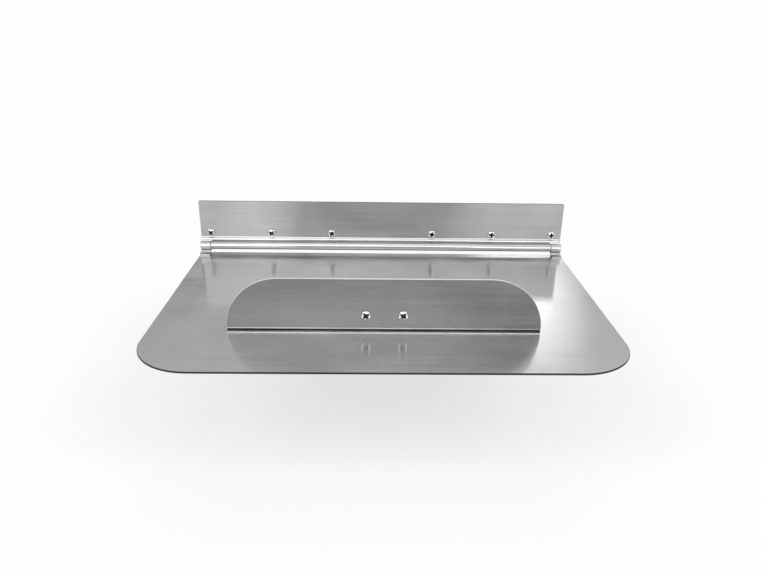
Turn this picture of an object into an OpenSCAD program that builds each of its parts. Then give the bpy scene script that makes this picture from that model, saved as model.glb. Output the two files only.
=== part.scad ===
// Boat trim tab: a flat stainless plane hung from a transom leaf on a full-length hinge pin.
// The row of transom screws runs along X through the origin, on the face that seats on the transom.
// +Y points forward into the boat, +Z points up, and the plane reaches aft along -Y.

/* [Plane] */
// Width of the plane and of the transom leaf, across the boat
span = 457.2; // [380:0.1:760]
// Length of the plane from its leading edge to its trailing edge
plane_l = 304.8; // [270:0.1:400]
// Thickness of the plane's sheet
plane_t = 1.9; // [1.2:0.1:3]
// Radius of the two corners at the trailing edge
corner_r = 57.15; // [20:0.05:75]
// Distance that the plane's leading edge reaches forward of the pin's axis
nose_lead = 2; // [0:0.1:2.5]

/* [Transom leaf] */
// Thickness of the sheet of the leaf and of the end knuckles
leaf_t = 1.9; // [1.5:0.1:2.4]
// Height of the leaf's top edge above the row of transom screws
leaf_above = 40.6; // [15:0.1:60]
// Radius of the leaf's top corners
leaf_corner_r = 2; // [0.5:0.1:8]
// Inside radius of the two bends that step the leaf's lower band off the transom
leaf_bend_r = 1.55; // [1:0.05:2]
// Flat left on the leaf between the screw heads and the start of its step
head_land = 0.5; // [0.3:0.05:0.7]

/* [Hinge] */
// Diameter of the hinge pin
pin_d = 6.35; // [5:0.05:7]
// Radial clearance between the pin and the rolled sheet around it
pin_clear = 0.05; // [0.02:0.01:0.1]
// Distance from the row of transom screws down to the pin's axis
pin_drop = 15.2; // [15:0.1:20]
// Height of the gap between the rolled barrel and the plane
hinge_gap = 5.05; // [3.5:0.05:8]
// Length of each end knuckle along the pin
knuckle_l = 12.7; // [8:0.1:30]
// Gap between an end knuckle and the leaf, beside it and above it
knuckle_gap = 0.5; // [0.3:0.05:1]
// Inside radius of the bend at the foot of the strap
strap_bend_r = 1.5; // [1:0.1:2]
// Length of the strap's flat tail, which is welded to the plane
tail_l = 4.5; // [3:0.1:12]
// Width of the open seam where each roll closes
seam = 0.8; // [0.4:0.05:1]
// Distance that each end of the pin is sunk inside its knuckle
pin_sink = 1; // [0:0.1:3]

/* [Actuator bracket] */
// Length of the bracket across the plane
bracket_l = 304.8; // [200:0.1:340]
// Height of the bracket's flange above the plane
bracket_h = 54; // [45:0.1:80]
// Thickness of the bracket's sheet
bracket_t = 1.9; // [1.5:0.1:3]
// Height of the flange's upright ends, below their round corners
bracket_end_h = 3; // [1:0.1:30]
// Width of the bracket's foot, from the flange's aft face forward
bracket_foot = 25.4; // [15:0.1:40]
// Radius of the foot's two forward corners
foot_corner_r = 6; // [1:0.1:12]
// Inside radius of the bend between flange and foot
bracket_bend_r = 1; // [0.8:0.1:3]
// Distance from the transom face to the flange's aft face
bracket_back = 228.6; // [180:0.1:240]

/* [Screws] */
// Outside diameter of the threads, number 10
screw_d = 4.8; // [4:0.1:5]
// Diameter of the plain neck between a head and its thread
neck_d = 4.2; // [3.5:0.1:4.5]
// Distance from the sheet that a screw passes to the start of its thread
thread_start = 0.3; // [0.2:0.05:1]
// Diameter of the pan heads
head_d = 9.6; // [8:0.1:10]
// Height of the pan heads
head_h = 3.2; // [2.6:0.1:4]
// Diameter of the cross recess at the top of the head
recess_d = 6; // [4:0.1:6.4]
// Width of each wing of the cross recess
recess_w = 1.5; // [0.8:0.1:1.6]
// Depth of the cross recess
recess_depth = 2.1; // [1:0.1:2.3]
// Turn of the cross recess in the first screw, in degrees
recess_turn = 45; // [0:1:90]
// Length of a transom screw under its head
transom_screw_l = 31.75; // [19:0.05:50]
// Length of the pointed end of a transom screw
tip_l = 5.5; // [3:0.1:8]
// Diameter left at the end of a transom screw's point
point_d = 0.8; // [0.4:0.1:1.5]
// Diameter of the transom leaf's screw holes
transom_hole_d = 5.4; // [5.2:0.1:6]
// Distance from the leaf's end to the nearest transom screw
screw_margin = 12.7; // [8:0.1:20]
// Distance between neighbouring transom screws in each group of three
screw_pitch = 76.2; // [50:0.1:85]
// Length of a bracket screw under its head
bracket_screw_l = 19.05; // [12:0.05:25]
// Chamfer at the end of a bracket screw
end_chamfer = 0.6; // [0.3:0.1:1]
// Distance between the two bracket screws
bracket_screw_pitch = 36; // [20:0.1:60]
// Height of the bracket screws above the plane
bracket_screw_z = 17; // [12:0.1:30]
// Radial clearance of a bracket screw's thread in the hole that it was driven through
thread_clear = 0.05; // [0.03:0.01:0.1]

/* [Hidden] */
$fn = 96;
// How far a cut runs past the face that it opens
past = 1;
// Share of a pan head's height that is its straight side
pan_side_share = 0.55;
// Share of the cross recess's diameter that is left at its foot
recess_foot_share = 0.45;
// How much further each next screw was driven round, in degrees
turn_step = 9;

// Both slopes of bent sheet belong to a 3-4-5 triangle, so that bends and straights meet without rounding
slope_long = 4 / 5;
slope_short = 3 / 5;
step_a = acos(slope_short);
strap_a = acos(slope_long);

// The leaf's step is two opposite bends of the same angle, which set its lower band off the transom
bend_mid_r = leaf_bend_r + leaf_t / 2;
leaf_step = 2 * bend_mid_r * (1 - slope_short);
step_start = -(head_d / 2 + head_land);
step_end = step_start - 2 * bend_mid_r * slope_long;

// The pin's axis stands far enough aft for the roll to sit flush with the leaf's lower band
bore_r = pin_d / 2 + pin_clear;
roll_r = bore_r + leaf_t;
pin_y = -(leaf_step + roll_r);
pin_z = -pin_drop;
plane_top = pin_z - roll_r - hinge_gap;
leading_edge = pin_y + nose_lead;
trailing_edge = leading_edge - plane_l;
leaf_end = span / 2 - knuckle_l - knuckle_gap;

// Distance along the slope from the pin to the strap's bend, whose centre lies above slope and tail
strap_rise = plane_top + leaf_t + strap_bend_r - pin_z;
strap_bend_u = (strap_rise - (strap_bend_r - bore_r) * slope_long) / slope_short;

// Screw places
transom_x = [for (side = [-1, 1], n = [0:2])
    side * (span / 2 - screw_margin - (side < 0 ? n : 2 - n) * screw_pitch)];
bracket_screw_at = plane_top + bracket_screw_z;
bracket_end_r = bracket_h - bracket_end_h;

// A Y-Z section drawn in the plane, run along X from one place to another
module across(x_from, x_to) {
    translate([x_from, 0, 0]) rotate([90, 0, 90]) linear_extrude(x_to - x_from) children();
}

// An X-Z outline drawn in the plane, run along Y from its aft face forward
module through(y_from, y_to) {
    translate([0, y_to, 0]) rotate([90, 0, 0]) linear_extrude(y_to - y_from) children();
}

// The part of a ring between two angles less than half a turn apart
module arc_band(r_in, r_out, a_from, a_to) {
    reach = 2 * r_out;
    a_mid = (a_from + a_to) / 2;
    intersection() {
        difference() {
            circle(r_out);
            circle(r_in);
        }
        polygon([
            [0, 0],
            reach * [cos(a_from), sin(a_from)],
            reach * [cos(a_mid), sin(a_mid)],
            reach * [cos(a_to), sin(a_to)]
        ]);
    }
}

// A rectangle from y_low to y_high whose corners at the chosen end are round
module round_ended(width, y_low, y_high, r, at_high) {
    y_round = at_high ? y_high - r : y_low + r;
    translate([-width / 2, at_high ? y_low : y_round])
        square([width, at_high ? y_round - y_low : y_high - y_round]);
    translate([-width / 2 + r, at_high ? y_round : y_low]) square([width - 2 * r, r]);
    for (side = [-1, 1]) translate([side * (width / 2 - r), y_round]) circle(r);
}

// Flat plane with rounded trailing corners
module trim_plane() {
    color("silver")
        translate([0, 0, plane_top - plane_t])
            linear_extrude(plane_t) round_ended(span, trailing_edge, leading_edge, corner_r, false);
}

// Section of the leaf from the foot of its seat to the roll around the pin
module leaf_section() {
    translate([-leaf_t - leaf_bend_r, step_start])
        arc_band(leaf_bend_r, leaf_bend_r + leaf_t, -step_a, 0);
    translate([leaf_bend_r - leaf_step, step_end])
        arc_band(leaf_bend_r, leaf_bend_r + leaf_t, 180 - step_a, 180);
    translate([pin_y, pin_z]) {
        translate([bore_r, 0]) square([leaf_t, step_end - pin_z]);
        difference() {
            circle(roll_r);
            circle(bore_r);
            translate([bore_r - seam, 0]) square([roll_r, roll_r + past]);
        }
    }
}

// Upper hinge leaf: screw seat, step and rolled barrel, with the roll cut away over the end knuckles
module transom_leaf() {
    notch_h = 2 * roll_r + knuckle_gap;
    color("lightgray") difference() {
        union() {
            through(-leaf_t, 0) round_ended(span, step_start, leaf_above, leaf_corner_r, true);
            across(-span / 2, span / 2) leaf_section();
        }
        for (x = transom_x)
            translate([x, past, 0]) rotate([90, 0, 0])
                cylinder(d = transom_hole_d, h = leaf_t + 2 * past);
        for (x_from = [-span / 2 - past, leaf_end])
            translate([x_from, pin_y - roll_r - past, pin_z - roll_r - past])
                cube([knuckle_l + knuckle_gap + past, 2 * (roll_r + past), notch_h + past]);
    }
}

// Full-length pin, staked inside the end knuckles
module hinge_pin() {
    color("gainsboro")
        translate([-span / 2 + pin_sink, pin_y, pin_z])
            rotate([0, 90, 0]) cylinder(d = pin_d, h = span - 2 * pin_sink);
}

// Section of an end knuckle: roll around the pin, slope, and tail on the plane
module knuckle_section() {
    translate([pin_y, pin_z]) rotate(strap_a) {
        difference() {
            circle(roll_r);
            circle(bore_r);
            translate([-roll_r - past, -roll_r - past]) square([roll_r + past, leaf_t + seam + past]);
        }
        translate([strap_bend_u, -roll_r]) square([-strap_bend_u, leaf_t]);
        translate([strap_bend_u, strap_bend_r - bore_r]) {
            arc_band(strap_bend_r, strap_bend_r + leaf_t, -90 - strap_a, -90);
            rotate(-strap_a)
                translate([-tail_l, -strap_bend_r - leaf_t]) square([tail_l, leaf_t]);
        }
    }
}

module hinge_knuckle(x_from) {
    color("lightgray") across(x_from, x_from + knuckle_l) knuckle_section();
}

// Angle bracket that stiffens the plane and carries the actuator's foot
module actuator_bracket() {
    bend_out_r = bracket_bend_r + bracket_t;
    color("silver") difference() {
        union() {
            intersection() {
                through(-bracket_back, -bracket_back + bend_out_r)
                    translate([0, plane_top]) round_ended(bracket_l, 0, bracket_h, bracket_end_r, true);
                across(-bracket_l / 2, bracket_l / 2) {
                    translate([-bracket_back, plane_top + bend_out_r])
                        square([bracket_t, bracket_h - bend_out_r]);
                    translate([-bracket_back + bend_out_r, plane_top + bend_out_r])
                        arc_band(bracket_bend_r, bend_out_r, 180, 270);
                }
            }
            translate([0, -bracket_back, plane_top]) linear_extrude(bracket_t)
                round_ended(bracket_l, bend_out_r, bracket_foot, foot_corner_r, true);
        }
        for (side = [-1, 1])
            translate([side * bracket_screw_pitch / 2, -bracket_back + bracket_t + past, bracket_screw_at])
                rotate([90, 0, 0])
                    cylinder(r = screw_d / 2 + thread_clear, h = bracket_t + 2 * past);
    }
}

// Half section of a pan head: a straight side under a shallow crown
module pan_half() {
    side_h = head_h * pan_side_share;
    crown_h = head_h - side_h;
    crown_r = ((head_d / 2) * (head_d / 2) + crown_h * crown_h) / (2 * crown_h);
    intersection() {
        square([head_d / 2, head_h]);
        translate([0, head_h - crown_r]) circle(crown_r);
    }
}

// Cross recess that narrows towards its foot
module cross_recess(turn) {
    rotate(turn) intersection() {
        for (wing = [0, 90])
            rotate(wing) translate([-recess_d, -recess_w / 2, -recess_depth])
                cube([2 * recess_d, recess_w, recess_depth + past]);
        union() {
            translate([0, 0, -recess_depth])
                cylinder(d1 = recess_d * recess_foot_share, d2 = recess_d, h = recess_depth);
            cylinder(d = recess_d, h = past);
        }
    }
}

// Pan-head screw standing on its head's seat: the head points up and the shank points down
module pan_screw(shank_l, sheet_t, end_l, end_d, turn) {
    neck_l = sheet_t + thread_start;
    difference() {
        rotate_extrude() pan_half();
        translate([0, 0, head_h]) cross_recess(turn);
    }
    translate([0, 0, -neck_l]) cylinder(d = neck_d, h = neck_l);
    translate([0, 0, end_l - shank_l]) cylinder(d = screw_d, h = shank_l - end_l - neck_l);
    translate([0, 0, -shank_l]) cylinder(d1 = end_d, d2 = screw_d, h = end_l);
}

// Self-tapping screw through the leaf, point forward
module transom_screw(n) {
    color("whitesmoke")
        translate([transom_x[n], -leaf_t, 0])
            rotate([90, 0, 0])
                pan_screw(transom_screw_l, leaf_t, tip_l, point_d, recess_turn + n * turn_step);
}

// Captive machine screw through the bracket, its thread forward for the actuator's foot
module bracket_screw(side) {
    color("whitesmoke")
        translate([side * bracket_screw_pitch / 2, -bracket_back, bracket_screw_at])
            rotate([90, 0, 0])
                pan_screw(bracket_screw_l, bracket_t, end_chamfer, screw_d - 2 * end_chamfer,
                    recess_turn + side * turn_step);
}

trim_plane();
transom_leaf();
hinge_pin();
hinge_knuckle(-span / 2);  // hinge_knuckle_port
hinge_knuckle(span / 2 - knuckle_l);  // hinge_knuckle_starboard
actuator_bracket();
bracket_screw(-1);  // bracket_screw_port
bracket_screw(1);  // bracket_screw_starboard
for (n = [0:5]) transom_screw(n);
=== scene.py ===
"""Looks of the boat trim tab: brushed stainless sheets, a rolled hinge and threaded pan-head screws."""

import math

import bmesh
import bpy
from mathutils import Matrix, Vector


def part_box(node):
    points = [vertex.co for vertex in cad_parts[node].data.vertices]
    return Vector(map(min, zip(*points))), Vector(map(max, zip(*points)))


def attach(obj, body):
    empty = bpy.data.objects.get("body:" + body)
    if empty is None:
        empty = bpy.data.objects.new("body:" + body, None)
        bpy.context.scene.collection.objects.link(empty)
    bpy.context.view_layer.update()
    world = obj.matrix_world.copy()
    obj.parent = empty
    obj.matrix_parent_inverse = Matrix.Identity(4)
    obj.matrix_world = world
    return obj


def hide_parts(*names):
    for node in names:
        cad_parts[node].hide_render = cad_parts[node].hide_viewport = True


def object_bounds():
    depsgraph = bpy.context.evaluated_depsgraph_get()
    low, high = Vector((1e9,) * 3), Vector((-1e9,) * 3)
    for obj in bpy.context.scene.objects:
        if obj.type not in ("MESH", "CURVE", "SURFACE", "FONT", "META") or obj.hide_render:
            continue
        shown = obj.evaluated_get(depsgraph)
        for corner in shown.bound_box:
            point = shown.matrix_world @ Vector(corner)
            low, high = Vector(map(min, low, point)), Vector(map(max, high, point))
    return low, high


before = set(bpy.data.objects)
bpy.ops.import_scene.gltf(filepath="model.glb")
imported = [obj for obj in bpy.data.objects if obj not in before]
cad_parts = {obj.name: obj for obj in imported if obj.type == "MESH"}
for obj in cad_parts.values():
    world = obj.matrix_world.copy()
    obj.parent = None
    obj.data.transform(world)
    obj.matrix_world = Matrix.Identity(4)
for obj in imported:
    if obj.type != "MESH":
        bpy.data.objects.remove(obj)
cad_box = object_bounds()

MM = 0.001

# Camera, fitted to the photograph's 768 by 576 frame
CAMERA_PLACE = (-0.0134, -0.8097, 0.2625)
CAMERA_PITCH = math.radians(22.67)
CAMERA_YAW = math.radians(1.22)
CAMERA_ROLL = math.radians(0.88)
FOCAL_PX = 665.7
IMAGE_W = 768
SENSOR_W = 36.0

# Floor: low enough for the plane, which swings 127 mm below its rest, with a glow that keeps its shadow faint
FLOOR_HALF = 40.0
FLOOR_DROP = 129 * MM
FLOOR_TONE = 0.95
FLOOR_ROUGH = 0.9
FLOOR_SPECULAR = 0.1
FLOOR_GLOW = 0.935
SHADOW_SHARE = 0.4

# Studio dome: how strong it is, and where its middle lies across the part
DOME_LEVEL = 3.0
SKYLINE_TONE = 0.985
SOFTBOX_LEVEL = 1.5
DOME_SHIFT = 0.02

# Levels of the dome's pieces by height, from 0 at the horizon to 1 overhead
STRIP_STOPS = ((0.0, 1.0), (0.22, 1.0), (0.3, 0.0), (0.7, 0.0), (0.86, 0.25), (0.93, 0.42), (1.0, 0.42))
WINDOW_LOW_STOPS = ((0.06, 0.4), (0.27, 0.4), (0.36, 0.62), (0.44, 0.85))
WINDOW_HIGH_STOPS = ((0.54, 0.85), (0.62, 0.45), (0.74, 0.42), (1.0, 0.42))
SOFTBOX_STOPS = ((0.42, 0.0), (0.56, 1.0), (0.86, 1.0), (0.93, 0.0))
ROOM_STOPS = ((0.36, 0.02), (0.39, 0.25), (0.5, 0.27), (0.58, 0.2), (0.66, 0.22), (0.8, 0.3), (1.0, 0.3))
PATCH_STOPS = ((0.345, 0.0), (0.365, 1.0), (0.405, 1.0), (0.43, 0.0))
WALL_STOPS = ((0.05, 0.0), (0.08, 1.0), (0.16, 1.0), (0.22, 0.0))
SIDES_STOPS = ((0.0, 1.0), (0.4, 1.0), (0.55, 0.2), (1.0, 0.2))

# Level of the bright patch across the part, to starboard
PATCH_ACROSS_STOPS = ((0.13, 0.0), (0.18, 1.2), (0.25, 1.2), (0.32, 0.05))

# Soft changes of level: where each starts and ends, and the level before and after it
STRIP_FADE = (0.32, 0.45, 1.0, 0.3)
WINDOW_FADE = (0.13, 0.27, 1.0, 0.55)
WINDOW_LEAN = (-0.2, 0.25, 1.05, 0.8)
SOFTBOX_FADE = (0.36, 0.5, 0.0, SOFTBOX_LEVEL)
ROOM_LEAN = (-0.35, 0.4, 0.8, 0.95)
WALL_FADE = (0.25, 0.35, 0.75, 0.0)
SIDES_FADE = (0.4, 0.6, 0.0, 0.08)
FORE_FADE = (0.35, 0.6, 1.0, 0.5)
AFT_TO_FORE = (-0.24, -0.08, 0.0, 1.0)
SKYLINE_FADE = (0.22, 0.3, SKYLINE_TONE / DOME_LEVEL, 0.0)

# Brushed steel: scales of its marks along and across the brushing, and what they do to tone and roughness
STREAK_SCALE = (14, 1500, 1500)
STREAK_DETAIL = 3.0
STREAK_SHARE = 0.6
BAND_SCALE = (5, 160, 160)
BAND_DETAIL = 2.0
BAND_SHARE = 0.4
SMUDGE_SCALE = 16.0
SMUDGE_DETAIL = 3.0
NOISE_SPAN = (0.3, 0.7)
TONE_SWING = 0.12
SMUDGE_TONE = (0.92, 1.08)
BLUE_TINT = 1.015
GRAIN_SWING = 0.05
SMUDGE_GRAIN_SPAN = (0.35, 0.7)
SMUDGE_GRAIN = (-0.02, 0.035)
BUMP_STRENGTH = 0.12
BUMP_DEPTH = 0.2 * MM
BRUSH_TURN = 0.25

# Sheet pieces: deburred edges, and the height of the bracket's bend
EDGE_R = 0.5 * MM
EDGE_STEPS = 3
SHARP_ANGLE = math.radians(30)
WELD_REACH = 0.002 * MM
FLAT_ANGLE = math.radians(0.5)
NORMAL_WEIGHT = 90
BRACKET_BEND = 3 * MM

# Material slots of a sheet: its face, its edge (painted shade on the plane and the hinge, a painted highlight
# on the bracket) and the first of its other materials (painted shade on the leaf, painted light on the
# bracket)
FACE_SLOT = 0
EDGE_SLOT = 1
OTHER_SLOT = 2

# Limits on a face's normal that tell which material it takes, among them painted shade and painted light
EDGE_TILT = 0.5
LEAF_FLAT = 0.99
SHADE_UNDER_HINGE_TILT = -0.6
BRACKET_TILT = 0.3
BRACKET_ROOF = -0.02

# Screws, in millimetres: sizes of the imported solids, with threads and a tapered cross recess added
HEAD_R = 4.8
HEAD_H = 3.2
HEAD_SIDE_H = 1.2
HEAD_FOOT_R = 0.25
CROWN_STEPS = 12
CROWN_ROUND = 0.8
CROWN_FALL = 0.75
NECK_R = 2.1
NECK_FLARE = 0.2
CREST_R = 2.4
ROOT_R = 1.75
SHEET_T = 1.9
THREAD_START = 0.3
THREAD_RUNOUT = 1.2
THREAD_RISE = 0.75
THREAD_FIRST = 0.1
CREST_UPPER = 0.46
CREST_LOWER = 0.54
TURN_STEPS = 36
TRANSOM_PITCH = 1.81
TRANSOM_L = 31.75
TIP_L = 5.5
TIP_R = 0.3
BRACKET_PITCH = 1.06
BRACKET_L = 19.05
END_CHAMFER = 0.6
SMOOTH_ANGLE = math.radians(32)
FIRST_TURN = math.radians(45)
TURN_STEP = math.radians(9)
TRANSOM_SCREWS = 6

# Cross recess, in millimetres, with its cutter's top and foot as shares of its reach, width and depth
RECESS_R = 3.7
RECESS_W = 1.8
RECESS_DEPTH = 2.3
RECESS_FLOOR = 0.5
RECESS_LIP = 0.12
CUTTER_PROUD = 0.6
CUTTER_TOP_REACH = 1.12
CUTTER_TOP_WIDTH = 1.1
CUTTER_FOOT_REACH = 0.6
CUTTER_FOOT_WIDTH = 0.8
CUTTER_FOOT_DEPTH = 0.72
CUTTER_CORNER = 1.35


def add_object(name, data):
    obj = bpy.data.objects.new(name, data)
    bpy.context.collection.objects.link(obj)
    return obj


def make_camera():
    data = bpy.data.cameras.new("camera")
    data.sensor_fit = "HORIZONTAL"
    data.sensor_width = SENSOR_W
    data.lens = SENSOR_W * FOCAL_PX / IMAGE_W
    camera = add_object("camera", data)
    camera.matrix_world = (
        Matrix.Translation(CAMERA_PLACE)
        @ Matrix.Rotation(-CAMERA_YAW, 4, "Z")
        @ Matrix.Rotation(math.pi / 2 - CAMERA_PITCH, 4, "X")
        @ Matrix.Rotation(CAMERA_ROLL, 4, "Z")
    )
    bpy.context.scene.camera = camera


class Nodes:
    """A short way to add and link shader nodes in one tree."""

    def __init__(self, tree):
        self.tree = tree

    def add(self, kind, inputs=None, **settings):
        node = self.tree.nodes.new(kind)
        for key, value in settings.items():
            setattr(node, key, value)
        for key, value in (inputs or {}).items():
            if isinstance(value, bpy.types.NodeSocket):
                self.tree.links.new(value, node.inputs[key])
            else:
                node.inputs[key].default_value = value
        return node

    def calc(self, operation, a, b=0.0):
        return self.add("ShaderNodeMath", {0: a, 1: b}, operation=operation).outputs[0]

    def spread(self, value, low, high, to_low, to_high, soft=False):
        node = self.add(
            "ShaderNodeMapRange",
            {"Value": value, "From Min": low, "From Max": high, "To Min": to_low, "To Max": to_high},
            interpolation_type="SMOOTHSTEP" if soft else "LINEAR",
        )
        return node.outputs["Result"]

    def fade(self, value, change):
        return self.spread(value, *change, soft=True)

    def ramp(self, value, stops):
        node = self.add("ShaderNodeValToRGB", {"Fac": value})
        elements = node.color_ramp.elements
        while len(elements) < len(stops):
            elements.new(0.5)
        for element, (place, level) in zip(elements, stops):
            element.position = place
            element.color = (level, level, level, 1)
        return node.outputs["Color"]

    def noise(self, vector, scale, detail):
        inputs = {"Vector": vector, "Scale": scale, "Detail": detail}
        return self.add("ShaderNodeTexNoise", inputs).outputs["Fac"]

    def stretched_noise(self, vector, scale, detail):
        stretched = self.add("ShaderNodeMapping", {"Vector": vector, "Scale": scale}).outputs["Vector"]
        return self.noise(stretched, 1.0, detail)


def make_floor():
    """A plain pale floor. Seen directly or in a reflection, it is mostly an even glow."""
    half = FLOOR_HALF
    z = cad_box[0][2] - FLOOR_DROP
    corners = [(-half, -half, z), (half, -half, z), (half, half, z), (-half, half, z)]
    mesh = bpy.data.meshes.new("floor")
    mesh.from_pydata(corners, [], [(0, 1, 2, 3)])
    floor = add_object("floor", mesh)
    material = bpy.data.materials.new("floor")
    material.use_nodes = True
    n = Nodes(material.node_tree)
    shader = material.node_tree.nodes["Principled BSDF"]
    shader.inputs["Base Color"].default_value = (FLOOR_TONE, FLOOR_TONE, FLOOR_TONE, 1)
    shader.inputs["Roughness"].default_value = FLOOR_ROUGH
    shader.inputs["Specular IOR Level"].default_value = FLOOR_SPECULAR
    ray = n.add("ShaderNodeLightPath").outputs
    seen = n.calc("MAXIMUM", ray["Is Camera Ray"], ray["Is Glossy Ray"])
    seen = n.calc("MAXIMUM", seen, ray["Is Transmission Ray"])
    glow = n.add("ShaderNodeEmission", {"Color": (FLOOR_GLOW, FLOOR_GLOW, FLOOR_GLOW, 1), "Strength": 1.0})
    share = n.calc("MULTIPLY", seen, 1 - SHADOW_SHARE)
    mix = n.add("ShaderNodeMixShader", {0: share, 1: shader.outputs[0], 2: glow.outputs[0]})
    output = material.node_tree.nodes["Material Output"]
    material.node_tree.links.new(mix.outputs[0], output.inputs["Surface"])
    mesh.materials.append(material)


def make_world():
    """A soft studio dome with a pale skyline all round.

    Aft of the part, where the camera stands, it has a strip at the horizon, a window, a dim ceiling
    and a softbox at each side. Forward of the part it has a dim room with a low pale wall and one
    bright patch to starboard.
    """
    world = bpy.data.worlds.new("studio")
    bpy.context.scene.world = world
    world.use_nodes = True
    n = Nodes(world.node_tree)
    direction = n.add("ShaderNodeTexCoord").outputs["Generated"]
    across, ahead, up = n.add("ShaderNodeSeparateXYZ", {0: direction}).outputs
    off_axis = n.calc("ABSOLUTE", n.calc("ADD", across, DOME_SHIFT))

    strip = n.calc("MULTIPLY", n.ramp(up, STRIP_STOPS), n.fade(off_axis, STRIP_FADE))
    window = n.ramp(up, WINDOW_LOW_STOPS + WINDOW_HIGH_STOPS)
    window = n.calc("MULTIPLY", window, n.fade(off_axis, WINDOW_FADE))
    window = n.calc("MULTIPLY", window, n.fade(across, WINDOW_LEAN))
    softbox = n.calc("MULTIPLY", n.ramp(up, SOFTBOX_STOPS), n.fade(off_axis, SOFTBOX_FADE))
    aft = n.calc("MAXIMUM", n.calc("MAXIMUM", window, strip), softbox)

    room = n.calc("MULTIPLY", n.ramp(up, ROOM_STOPS), n.fade(across, ROOM_LEAN))
    patch = n.calc("MULTIPLY", n.ramp(across, PATCH_ACROSS_STOPS), n.ramp(up, PATCH_STOPS))
    wall = n.calc("MULTIPLY", n.fade(off_axis, WALL_FADE), n.ramp(up, WALL_STOPS))
    room = n.calc("ADD", n.calc("MAXIMUM", room, wall), patch)
    sides = n.calc("MULTIPLY", n.fade(off_axis, SIDES_FADE), n.ramp(up, SIDES_STOPS))
    fore = n.calc("MULTIPLY", room, n.fade(off_axis, FORE_FADE))
    fore = n.calc("MAXIMUM", fore, sides)

    halves = {"Factor": n.fade(ahead, AFT_TO_FORE), "A": aft, "B": fore}
    dome = n.add("ShaderNodeMix", halves, data_type="FLOAT").outputs[0]
    dome = n.calc("MAXIMUM", dome, n.fade(up, SKYLINE_FADE))
    background = world.node_tree.nodes["Background"]
    world.node_tree.links.new(n.calc("MULTIPLY", dome, DOME_LEVEL), background.inputs["Strength"])
    background.inputs["Color"].default_value = (1, 1, 1, 1)


def steel(name, tone, rough, brushed, lines):
    """Stainless steel brushed along X, with fine streaks, broad bands and smudges."""
    material = bpy.data.materials.new(name)
    material.use_nodes = True
    n = Nodes(material.node_tree)
    place = n.add("ShaderNodeTexCoord").outputs["Object"]
    fine = n.stretched_noise(place, STREAK_SCALE, STREAK_DETAIL)
    bands = n.stretched_noise(place, BAND_SCALE, BAND_DETAIL)
    smudge = n.noise(place, SMUDGE_SCALE, SMUDGE_DETAIL)
    streak = n.calc("ADD", n.calc("MULTIPLY", fine, STREAK_SHARE), n.calc("MULTIPLY", bands, BAND_SHARE))
    tone_swing = TONE_SWING * lines
    shade = n.spread(streak, *NOISE_SPAN, tone * (1 - tone_swing), tone * (1 + tone_swing))
    shade = n.calc("MULTIPLY", shade, n.spread(smudge, *NOISE_SPAN, *SMUDGE_TONE))
    colour = n.add("ShaderNodeCombineColor", {0: shade, 1: shade, 2: n.calc("MULTIPLY", shade, BLUE_TINT)})
    grain_swing = GRAIN_SWING * lines
    grain = n.spread(streak, *NOISE_SPAN, rough - grain_swing, rough + grain_swing)
    grain = n.calc("ADD", grain, n.spread(smudge, *SMUDGE_GRAIN_SPAN, *SMUDGE_GRAIN))
    relief = {"Strength": BUMP_STRENGTH * lines, "Distance": BUMP_DEPTH, "Height": streak}
    bump = n.add("ShaderNodeBump", relief)
    tangent = n.add("ShaderNodeCombineXYZ", {0: 1.0})
    shader = material.node_tree.nodes["Principled BSDF"]
    links = material.node_tree.links
    links.new(colour.outputs[0], shader.inputs["Base Color"])
    links.new(grain, shader.inputs["Roughness"])
    links.new(bump.outputs["Normal"], shader.inputs["Normal"])
    links.new(tangent.outputs[0], shader.inputs["Tangent"])
    shader.inputs["Metallic"].default_value = 1.0
    shader.inputs["Anisotropic"].default_value = brushed
    shader.inputs["Anisotropic Rotation"].default_value = BRUSH_TURN
    return material


# Faces that take the plane's painted rim shade: its side walls.
def is_plane_rim_shade(_, normal):
    return abs(normal.z) < EDGE_TILT


# Faces that take the hinge's painted rim shade: its ends and the leaf's top rim.
def is_hinge_rim_shade(place, normal):
    on_top = place.z > leaf_top - 2 * EDGE_R
    return abs(normal.x) > EDGE_TILT or (normal.z > EDGE_TILT and on_top)


# Faces that take the bracket's painted rim highlight: its ends, its forward edge and its top rim.
def is_bracket_rim_highlight(place, normal):
    on_flange = place.z > bracket_low.z + BRACKET_BEND
    on_front = place.y > bracket_high.y - EDGE_R
    on_rim = on_flange and abs(normal.y) < BRACKET_TILT and normal.z > BRACKET_TILT
    return abs(normal.x) > BRACKET_TILT or on_front or on_rim


# Flat faces of the leaf, which take its darker copy of steel: painted shade.
def is_leaf_flat(normal):
    return abs(normal.y) > LEAF_FLAT


# Faces facing steeply down, which take the painted shade under the hinge.
def is_shade_under_hinge(normal):
    return normal.z < SHADE_UNDER_HINGE_TILT


# Forward and slightly down-facing faces of the bracket, which take its pale copy of steel: painted light.
def is_bracket_lit_face(normal):
    return normal.y > BRACKET_TILT or -BRACKET_TILT < normal.z < BRACKET_ROOF


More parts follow.
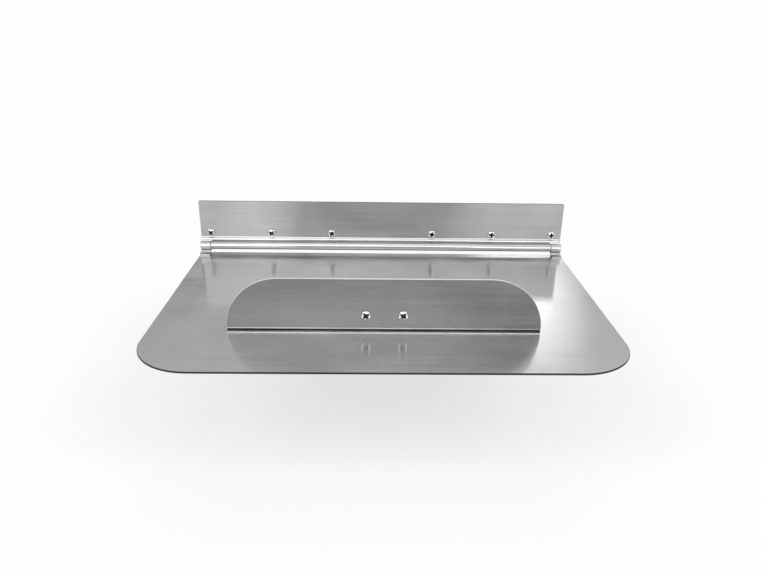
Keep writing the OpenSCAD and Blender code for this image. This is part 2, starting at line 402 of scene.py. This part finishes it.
def dress_sheet(node, face, edge, is_edge, others=()):
    """Deburred edges on a sheet solid, in an edge material of their own, which is painted shade on the plane
    and the hinge and a painted highlight on the bracket, and flat faces that stay flat.

    Each of the others is a material and the test of a face's normal that tells whether the face takes it; on
    the leaf these are painted shade, on the bracket painted light.
    """
    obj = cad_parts[node]
    obj.data.materials.clear()
    obj.data.materials.append(face)
    obj.data.materials.append(edge)
    for material, _ in others:
        obj.data.materials.append(material)
    for polygon in obj.data.polygons:
        polygon.material_index = FACE_SLOT
        for index, (_, is_other) in enumerate(others):
            if is_other(polygon.normal):
                polygon.material_index = OTHER_SLOT + index
        if is_edge(polygon.center, polygon.normal):
            polygon.material_index = EDGE_SLOT
    weld = obj.modifiers.new("weld", "WELD")
    weld.merge_threshold = WELD_REACH
    flat = obj.modifiers.new("flat", "DECIMATE")
    flat.decimate_type = "DISSOLVE"
    flat.angle_limit = FLAT_ANGLE
    bevel = obj.modifiers.new("deburr", "BEVEL")
    bevel.width = EDGE_R
    bevel.segments = EDGE_STEPS
    bevel.limit_method = "ANGLE"
    bevel.angle_limit = SHARP_ANGLE
    # The bevel's faces take the edge material too, with its painted shade or painted highlight.
    bevel.material = EDGE_SLOT
    normals = obj.modifiers.new("normals", "WEIGHTED_NORMAL")
    normals.keep_sharp = True
    normals.weight = NORMAL_WEIGHT


def add_loop(bm, radius, z):
    return [
        bm.verts.new((radius * math.cos(a), radius * math.sin(a), z))
        for a in (2 * math.pi * i / TURN_STEPS for i in range(TURN_STEPS))
    ]


def bridge(bm, low, high):
    count = len(low)
    for i in range(count):
        j = (i + 1) % count
        bm.faces.new((low[i], low[j], high[j], high[i]))


def head_profile():
    """Radius and height of the pan head from near the middle of its crown down to its seat."""
    crown_h = HEAD_H - HEAD_SIDE_H
    rows = []
    for step in range(1, CROWN_STEPS + 1):
        a = math.radians(90 * step / CROWN_STEPS)
        radius = HEAD_R * math.sin(a) ** CROWN_ROUND
        rows.append((radius, HEAD_SIDE_H + crown_h * math.cos(a) ** CROWN_FALL))
    rows.append((HEAD_R, HEAD_FOOT_R))
    rows.append((HEAD_R - HEAD_FOOT_R, 0.0))
    return rows


def crown_height(reach):
    """Height of the pan head's crown at a distance from its axis."""
    a = math.asin(min(reach / HEAD_R, 1.0) ** (1 / CROWN_ROUND))
    return HEAD_SIDE_H + (HEAD_H - HEAD_SIDE_H) * math.cos(a) ** CROWN_FALL


def thread_scale(depth, length, end_l, end_r):
    """How much of the thread's full radius is left at a depth under the head."""
    left = length - depth
    if left >= end_l:
        return 1.0
    return max(left / end_l, 0.0) * (1 - end_r / CREST_R) + end_r / CREST_R


def add_thread(bm, neck, length, pitch, end_l, end_r):
    """Helical thread from the neck's ring to the screw's end, closed at both ends."""
    steps = TURN_STEPS
    start = SHEET_T + THREAD_START
    last = int((length - start) / pitch - THREAD_RUNOUT) * steps

    def point(step, radius, drop):
        a = 2 * math.pi * (step % steps) / steps
        depth = min(start + pitch * step / steps + drop, length)
        r = radius * thread_scale(depth, length, end_l, end_r)
        return bm.verts.new((r * math.cos(a), r * math.sin(a), -depth))

    roots = [point(i, ROOT_R, 0.0) for i in range(last + steps + 1)]
    crests = []
    for i in range(last + 1):
        rise = min(1.0, THREAD_FIRST + i / (THREAD_RISE * steps))
        crest = ROOT_R + (CREST_R - ROOT_R) * rise
        crests.append((point(i, crest, CREST_UPPER * pitch), point(i, crest, CREST_LOWER * pitch)))
    for i in range(last):
        upper, lower = crests[i]
        next_upper, next_lower = crests[i + 1]
        bm.faces.new((roots[i], roots[i + 1], next_upper, upper))
        bm.faces.new((upper, next_upper, next_lower, lower))
        bm.faces.new((lower, next_lower, roots[i + 1 + steps], roots[i + steps]))
    for i in range(steps):
        bm.faces.new((neck[i], neck[(i + 1) % steps], roots[i + 1], roots[i]))
    bm.faces.new((neck[0], roots[0], *crests[0], roots[steps]))
    tip = bm.verts.new((0, 0, -length))
    for i in range(steps):
        bm.faces.new((roots[last + i], roots[last + i + 1], tip))
    bm.faces.new((roots[last], tip, roots[last + steps], crests[last][1], crests[last][0]))


def finished_object(bm, name):
    """An object made from a closed bmesh, which is then freed."""
    bmesh.ops.recalc_face_normals(bm, faces=bm.faces)
    mesh = bpy.data.meshes.new(name)
    bm.to_mesh(mesh)
    bm.free()
    return add_object(name, mesh)


def cutter_ring(bm, z, reach, half):
    """Outline of the cross at one height."""
    corner = half * CUTTER_CORNER
    ring = []
    for quarter in range(4):
        turn = Matrix.Rotation(quarter * math.pi / 2, 3, "Z")
        for x, y in ((reach, -half), (reach, half), (corner, corner)):
            ring.append(bm.verts.new(turn @ Vector((x, y, z))))
    return ring


def cross_cutter():
    """Tapered cross that sinks into the crown of a pan head."""
    bm = bmesh.new()
    half = RECESS_W / 2
    top_z = HEAD_H + CUTTER_PROUD
    foot_z = HEAD_H - RECESS_DEPTH * CUTTER_FOOT_DEPTH
    top = cutter_ring(bm, top_z, RECESS_R * CUTTER_TOP_REACH, half * CUTTER_TOP_WIDTH)
    foot = cutter_ring(bm, foot_z, RECESS_R * CUTTER_FOOT_REACH, half * CUTTER_FOOT_WIDTH)
    point = bm.verts.new((0, 0, HEAD_H - RECESS_DEPTH))
    bridge(bm, top, foot)
    for i, corner in enumerate(foot):
        bm.faces.new((corner, foot[(i + 1) % len(foot)], point))
    bm.faces.new(top)
    return finished_object(bm, "cross_cutter")


def is_recess(place):
    """Whether a face of a cut screw belongs to the walls of its cross recess."""
    reach = math.hypot(place.x, place.y)
    return reach < RECESS_R and RECESS_FLOOR < place.z < crown_height(reach) - RECESS_LIP


def screw_mesh(name, length, pitch, end_l, end_r):
    """A pan-head screw standing on its head's seat, in millimetres, with its recess cut."""
    bm = bmesh.new()
    top = bm.verts.new((0, 0, HEAD_H))
    neck = [(NECK_R + NECK_FLARE, 0.0), (NECK_R, -NECK_FLARE), (NECK_R, -SHEET_T)]
    rings = [add_loop(bm, radius, z) for radius, z in head_profile() + neck]
    for i, vertex in enumerate(rings[0]):
        bm.faces.new((top, vertex, rings[0][(i + 1) % TURN_STEPS]))
    for upper, lower in zip(rings, rings[1:]):
        bridge(bm, upper, lower)
    add_thread(bm, rings[-1], length, pitch, end_l, end_r)
    blank = finished_object(bm, name + "_blank")
    cutter = cross_cutter()
    cut = blank.modifiers.new("recess", "BOOLEAN")
    cut.operation = "DIFFERENCE"
    cut.solver = "EXACT"
    cut.object = cutter
    bpy.context.view_layer.update()
    done = bpy.data.meshes.new_from_object(blank.evaluated_get(bpy.context.evaluated_depsgraph_get()))
    done.name = name
    # Recess walls take the screw's second material, painted shade.
    for polygon in done.polygons:
        polygon.material_index = 1 if is_recess(polygon.center) else 0
    for spare in (blank, cutter):
        spare_mesh = spare.data
        bpy.data.objects.remove(spare)
        bpy.data.meshes.remove(spare_mesh)
    return done


def place_screw(node, body, mesh, length, materials, turn):
    """A screw's own copy of the mesh, its seat on the sheet's aft face and its shank forward."""
    low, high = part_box(node)
    seat = Vector(((low.x + high.x) / 2, high.y - length * MM, (low.z + high.z) / 2))
    own = mesh.copy()
    own.transform(
        Matrix.Translation(seat)
        @ Matrix.Rotation(math.pi / 2, 4, "X")
        @ Matrix.Rotation(turn, 4, "Z")
        @ Matrix.Scale(MM, 4)
    )
    for material in materials:
        own.materials.append(material)
    own.shade_smooth()
    own.set_sharp_from_angle(angle=SMOOTH_ANGLE)
    piece = add_object(node + "_threaded", own)
    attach(piece, body)
    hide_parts(node)


make_camera()
make_floor()
make_world()

plane_face = steel("plane_steel", tone=0.64, rough=0.165, brushed=0.85, lines=0.6)
# The plane's rims and deburred edges take a near-black steel: painted shade, a dark line along the plate's
# edges.
plane_rim_shade = steel("plane_rim_shade", tone=0.045, rough=0.45, brushed=0.0, lines=0.5)
hinge_face = steel("hinge_steel", tone=0.6, rough=0.2, brushed=0.3, lines=0.8)
# The leaf's flat faces take a darker, rougher copy of the hinge steel; its darker tone is painted shade.
leaf_shaded_face = steel("leaf_shaded_steel", tone=0.38, rough=0.33, brushed=0.35, lines=0.9)
# The hinge's end rims, the leaf's top rim and their deburred edges take a near-black steel: painted shade
# along its edges.
hinge_rim_shade = steel("hinge_rim_shade", tone=0.09, rough=0.4, brushed=0.0, lines=0.5)
# Faces under the leaf's barrel take a near-black steel: painted shade beneath the hinge.
shade_under_hinge = steel("shade_under_hinge_steel", tone=0.1, rough=0.4, brushed=0.2, lines=0.8)
# The bracket is one steel in two tones: its aft faces take a dark copy, painted shade, and its forward and
# down-facing faces take a pale copy, painted light.
bracket_shaded_face = steel("bracket_shaded_steel", tone=0.22, rough=0.26, brushed=0.3, lines=1.0)
bracket_lit_face = steel("bracket_lit_face_steel", tone=0.75, rough=0.2, brushed=0.3, lines=1.0)
# The bracket's rims and deburred edges take a pale, rough steel: a painted highlight along its edges.
bracket_rim_highlight = steel("bracket_rim_highlight", tone=0.9, rough=0.75, brushed=0.0, lines=0.3)
pin_face = steel("pin_steel", tone=0.52, rough=0.28, brushed=0.0, lines=0.4)
screw_face = steel("screw_steel", tone=0.62, rough=0.2, brushed=0.0, lines=0.4)
# The walls of each screw's cross recess take a near-black steel: painted shade in the recess.
recess_shade = steel("recess_shade_steel", tone=0.02, rough=0.5, brushed=0.0, lines=0.4)

leaf_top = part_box("transom_leaf")[1].z
leaf_others = [(leaf_shaded_face, is_leaf_flat), (shade_under_hinge, is_shade_under_hinge)]
bracket_low, bracket_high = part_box("actuator_bracket")
bracket_others = [(bracket_lit_face, is_bracket_lit_face)]

dress_sheet("trim_plane", plane_face, plane_rim_shade, is_plane_rim_shade)
dress_sheet("transom_leaf", hinge_face, hinge_rim_shade, is_hinge_rim_shade, leaf_others)
dress_sheet("hinge_knuckle_port", hinge_face, hinge_rim_shade, is_hinge_rim_shade)
dress_sheet("hinge_knuckle_starboard", hinge_face, hinge_rim_shade, is_hinge_rim_shade)
dress_sheet("actuator_bracket", bracket_shaded_face, bracket_rim_highlight, is_bracket_rim_highlight, bracket_others)
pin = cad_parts["hinge_pin"]
pin.data.materials.clear()
pin.data.materials.append(pin_face)

screw_steel_and_shade = (screw_face, recess_shade)
transom_blank = screw_mesh("tapping_screw", TRANSOM_L, TRANSOM_PITCH, TIP_L, TIP_R)
bracket_blank = screw_mesh("machine_screw", BRACKET_L, BRACKET_PITCH, END_CHAMFER, CREST_R - END_CHAMFER)
for index in range(TRANSOM_SCREWS):
    turn = FIRST_TURN + index * TURN_STEP
    place_screw(f"transom_screw_{index + 1}", "transom_side", transom_blank, TRANSOM_L, screw_steel_and_shade, turn)
for side, label in ((-1, "port"), (1, "starboard")):
    turn = FIRST_TURN + side * TURN_STEP
    place_screw("bracket_screw_" + label, "plane_side", bracket_blank, BRACKET_L, screw_steel_and_shade, turn)
for blank in (transom_blank, bracket_blank):
    bpy.data.meshes.remove(blank)

bpy.context.scene.view_settings.view_transform = "Standard"
